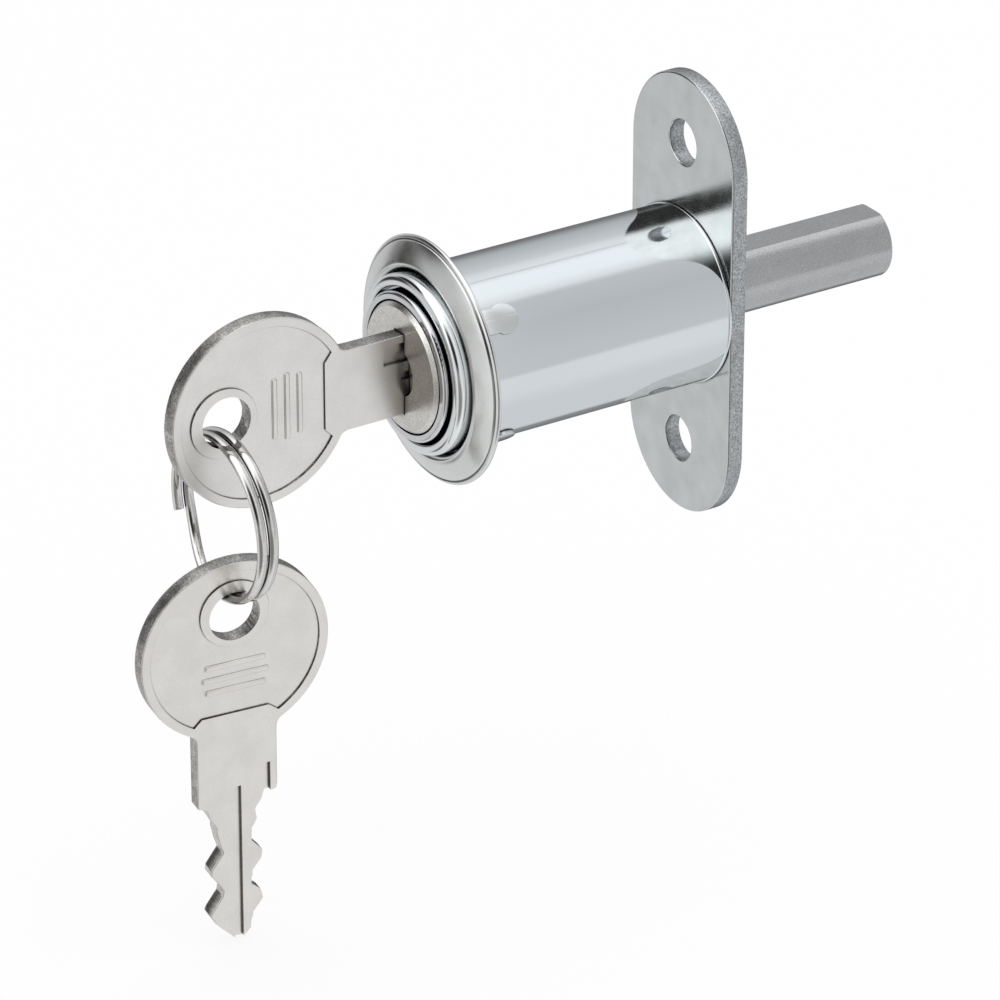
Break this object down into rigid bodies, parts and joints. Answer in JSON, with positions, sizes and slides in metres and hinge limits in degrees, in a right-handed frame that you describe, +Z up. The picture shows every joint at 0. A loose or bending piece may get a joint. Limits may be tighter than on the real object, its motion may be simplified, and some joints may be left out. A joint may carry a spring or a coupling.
{
  "type": "push-in furniture lock",
  "caption": "Push-in plunger lock with a chromed tube, trim rosette, screw plate and round bolt, with flat keys on a split ring.",
  "frame": {"origin": "middle between the two screw holes on the plate's front face, which bears on the back of the panel", "axes": "+Y along the lock from the key side to the bolt, +Z up along the plate's long side, +X across the plate"},
  "size_m": [0.027, 0.0919, 0.0872],
  "materials": {
    "tube_chrome": "polished chrome plate",
    "plate_zinc": "dull zinc plate, fine speckle",
    "rosette_nickel": "satin nickel plate",
    "ring_chrome": "bright chrome plate",
    "rod_nickel": "satin nickel plate",
    "plug_nickel": "matt nickel plate, fine speckle",
    "plain_steel": "plain machined steel",
    "wafer_brass": "stamped brass",
    "spring_steel": "drawn spring wire",
    "key_nickel": "nickel-plated brass, fine grain, rough sheared edges",
    "wire_steel": "bright plated wire"
  },
  "bodies": {
    "housing": {"housing_tube": "tube_chrome", "mounting_plate": "plate_zinc", "rosette": "rosette_nickel", "return_spring": "spring_steel"},
    "plunger": {"plunger_body": "ring_chrome", "bolt_rod": "rod_nickel", "rod_pin": "plain_steel", "latch_spring": "spring_steel"},
    "plug": {"lock_plug": "plug_nickel", "plug_retainer": "wafer_brass", "retainer_spring": "spring_steel", "wafer_spring_1": "spring_steel", "wafer_spring_2": "spring_steel", "wafer_spring_3": "spring_steel", "wafer_spring_4": "spring_steel", "wafer_spring_5": "spring_steel", "wafer_spring_6": "spring_steel"},
    "latch": {"latch": "plain_steel"},
    "wafer_1": {"wafer_1": "wafer_brass"},
    "wafer_2": {"wafer_2": "wafer_brass"},
    "wafer_3": {"wafer_3": "wafer_brass"},
    "wafer_4": {"wafer_4": "wafer_brass"},
    "wafer_5": {"wafer_5": "wafer_brass"},
    "wafer_6": {"wafer_6": "wafer_brass"},
    "key": {"key": "key_nickel"},
    "ring": {"key_ring": "wire_steel"},
    "spare": {"spare_key": "key_nickel"}
  },
  "joints": [
    {"name": "plunger_slide", "type": "slide", "parent": "housing", "child": "plunger", "axis": [0, -1, 0], "range_m": [0, 0.01], "deforming": ["return_spring"]},
    {"name": "plug_turn", "type": "hinge", "parent": "plunger", "child": "plug", "pos_m": [0, -0.03, 0], "axis": [0, 1, 0], "range_deg": [0, 90]},
    {"name": "latch_slide", "type": "slide", "parent": "plunger", "child": "latch", "axis": [0, 0, -1], "range_m": [0, 0.001], "deforming": ["latch_spring"]},
    {"name": "key_slide", "type": "slide", "parent": "plug", "child": "key", "axis": [0, -1, 0], "range_m": [0, 0.022]},
    {"name": "ring_swing", "type": "hinge", "parent": "key", "child": "ring", "pos_m": [0, -0.05635, -0.00035], "axis": [1, 0, 0], "range_deg": [-70, 30]},
    {"name": "spare_key_swing", "type": "hinge", "parent": "ring", "child": "spare", "pos_m": [0.00095, -0.05635, -0.02225], "axis": [0.9924, -0.1166, -0.0401], "range_deg": [-40, 40]},
    {"name": "wafer_1_slide", "type": "slide", "parent": "plug", "child": "wafer_1", "axis": [0, 0, 1], "range_m": [0, 0.0005], "deforming": ["wafer_spring_1"]},
    {"name": "wafer_2_slide", "type": "slide", "parent": "plug", "child": "wafer_2", "axis": [0, 0, -1], "range_m": [0, 0.0005], "deforming": ["wafer_spring_2"]},
    {"name": "wafer_3_slide", "type": "slide", "parent": "plug", "child": "wafer_3", "axis": [0, 0, 1], "range_m": [0, 0.0005], "deforming": ["wafer_spring_3"]},
    {"name": "wafer_4_slide", "type": "slide", "parent": "plug", "child": "wafer_4", "axis": [0, 0, -1], "range_m": [0, 0.0005], "deforming": ["wafer_spring_4"]},
    {"name": "wafer_5_slide", "type": "slide", "parent": "plug", "child": "wafer_5", "axis": [0, 0, 1], "range_m": [0, 0.0005], "deforming": ["wafer_spring_5"]},
    {"name": "wafer_6_slide", "type": "slide", "parent": "plug", "child": "wafer_6", "axis": [0, 0, -1], "range_m": [0, 0.0005], "deforming": ["wafer_spring_6"]}
  ],
  "couplings": [
    {"joint": "latch_slide", "follows": "plug_turn", "m_per_rad": 0.0006366},
    {"joint": "wafer_1_slide", "follows": "key_slide", "ratio": 0.02272},
    {"joint": "wafer_2_slide", "follows": "key_slide", "ratio": 0.02272},
    {"joint": "wafer_3_slide", "follows": "key_slide", "ratio": 0.02272},
    {"joint": "wafer_4_slide", "follows": "key_slide", "ratio": 0.02272},
    {"joint": "wafer_5_slide", "follows": "key_slide", "ratio": 0.02272},
    {"joint": "wafer_6_slide", "follows": "key_slide", "ratio": 0.02272}
  ]
}
